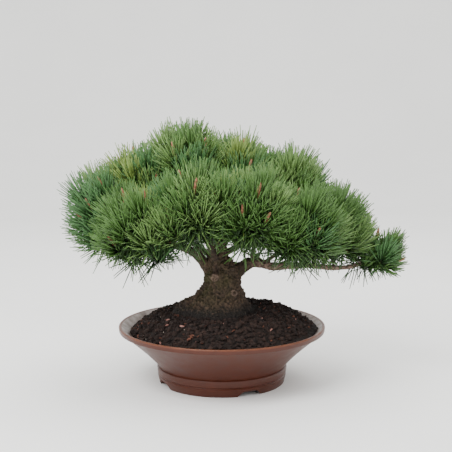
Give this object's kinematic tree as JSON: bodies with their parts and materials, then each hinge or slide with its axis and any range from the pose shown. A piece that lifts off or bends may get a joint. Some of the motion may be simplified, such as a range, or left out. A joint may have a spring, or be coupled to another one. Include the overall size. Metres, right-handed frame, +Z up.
{
  "type": "mugo pine bonsai in a pot",
  "caption": "Potted mugo pine bonsai: a flared trunk in a round brown pot, pads of needles on spreading boughs, and a long low bough.",
  "frame": {"origin": "on the table, under the middle of the whole plant's box; the pot's axis stands 20.5 mm to -X and 1.3 mm to -Y of it", "axes": "+Z up, +X along the long low bough, -Y towards the viewer of the tree's front"},
  "size_m": [0.4908, 0.2926, 0.3658],
  "materials": {
    "pot": "satin",
    "soil": "matte",
    "bark": "matte",
    "needles": "satin"
  },
  "bodies": {
    "root": {"pot": "pot", "soil": "soil", "trunk": "bark", "bough_left": "bark", "bough_right": "bark", "bough_left_front": "bark", "bough_left_back": "bark", "bough_left_upper": "bark", "bough_apex_right": "bark", "bough_front_left": "bark", "bough_front_right": "bark", "bough_right_upper": "bark", "bough_right_front": "bark", "bough_right_outer": "bark", "bough_right_back": "bark", "bough_back_left": "bark", "bough_back_right": "bark", "needles_left_outer": "needles", "needles_left_front": "needles", "needles_left_back": "needles", "needles_left_upper": "needles", "needles_apex": "needles", "needles_apex_right": "needles", "needles_front_left": "needles", "needles_front_right": "needles", "needles_right_upper": "needles", "needles_right_front": "needles", "needles_right_outer": "needles", "needles_right_back": "needles", "needles_right_tip": "needles", "needles_back_left": "needles", "needles_back_right": "needles"}
  },
  "joints": []
}
